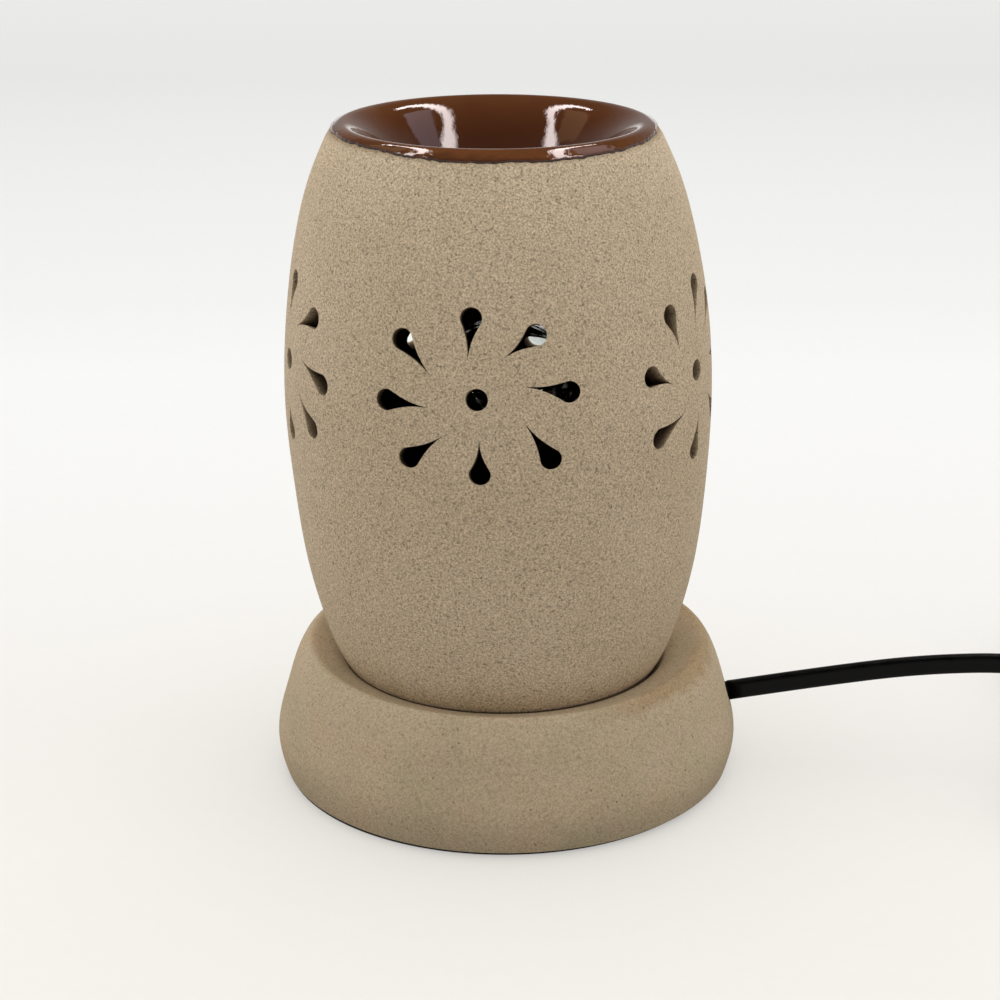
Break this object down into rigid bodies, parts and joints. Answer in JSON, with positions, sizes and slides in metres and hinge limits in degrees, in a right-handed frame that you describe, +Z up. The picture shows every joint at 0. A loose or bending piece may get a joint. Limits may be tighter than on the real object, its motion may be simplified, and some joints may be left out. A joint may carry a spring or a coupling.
{
  "type": "electric oil burner",
  "caption": "Pierced stoneware barrel with a glazed oil dish, standing in a stoneware base ring over a screw-in bulb, with a flat flex, inline rocker switch and mains plug.",
  "frame": {"origin": "middle of the underside of the base, on the floor", "axes": "+Z up, -Y the pictured front with the middle rosette, +X the side on which the flex leaves"},
  "size_m": [0.3372, 0.1609, 0.1806],
  "materials": {
    "stoneware_barrel": "unglazed sandy stoneware, matt",
    "brown_glaze": "thick glossy chestnut glaze",
    "stoneware_base": "unglazed stoneware, smoother than the barrel",
    "black_pad": "matt foam sheet",
    "fibre": "pressed red-brown fibre",
    "zinc_steel": "bright zinc plate",
    "black_bakelite": "moulded thermoset, half gloss",
    "porcelain": "white electrical porcelain",
    "brass": "plain stamped brass",
    "clear_glass": "clear blown glass",
    "nickel": "satin nickel plate",
    "black_glass": "black vitreous glass",
    "tin_lead": "soldered tip",
    "stem_glass": "clear glass",
    "tungsten": "coiled wire, dull",
    "black_flex": "black vinyl sheath",
    "black_plastic": "moulded black plastic, fine grain",
    "nylon": "black nylon",
    "brown_wire": "vinyl insulation",
    "blue_wire": "vinyl insulation"
  },
  "bodies": {
    "base": {"base_ring": "stoneware_base", "base_pad": "black_pad", "fibre_washer": "fibre", "steel_washer": "zinc_steel", "holder_nut": "zinc_steel", "holder_nipple": "zinc_steel", "holder_cap": "black_bakelite", "holder_core": "porcelain", "holder_shell": "black_bakelite", "terminal_screws": "brass", "centre_contact": "brass", "side_contact": "brass", "inner_cord": "black_flex", "cord_bush": "black_plastic", "cord_stop": "nylon", "live_wire": "brown_wire", "neutral_wire": "blue_wire", "cord_lead": "black_flex", "cord_link": "black_flex", "cord_tail": "black_flex", "cord_coil": "black_flex", "coil_tie": "nylon", "switch_lower": "black_plastic", "switch_upper": "black_plastic", "rocker_pin": "zinc_steel", "switch_contacts": "brass", "switch_screws": "zinc_steel", "plug_boot": "black_plastic", "plug_body": "black_plastic", "plug_pins": "nickel"},
    "barrel": {"burner_body": "stoneware_barrel", "dish_glaze": "brown_glaze"},
    "bulb": {"bulb_glass": "clear_glass", "bulb_cap": "nickel", "bulb_insulator": "black_glass", "bulb_tip": "tin_lead", "bulb_stem": "stem_glass", "bulb_leads": "nickel", "bulb_filament": "tungsten"},
    "rocker": {"switch_rocker": "black_plastic"}
  },
  "joints": [
    {"name": "barrel_lift", "type": "slide", "parent": "base", "child": "barrel", "axis": [0, 0, 1], "range_m": [0, 0.14]},
    {"name": "bulb_lift", "type": "slide", "parent": "base", "child": "bulb", "axis": [0, 0, 1], "range_m": [0, 0.02]},
    {"name": "rocker_tilt", "type": "hinge", "parent": "base", "child": "rocker", "pos_m": [0.26, 0.0139, 0.0122], "axis": [1, 0, 0], "range_deg": [0, 16]}
  ]
}
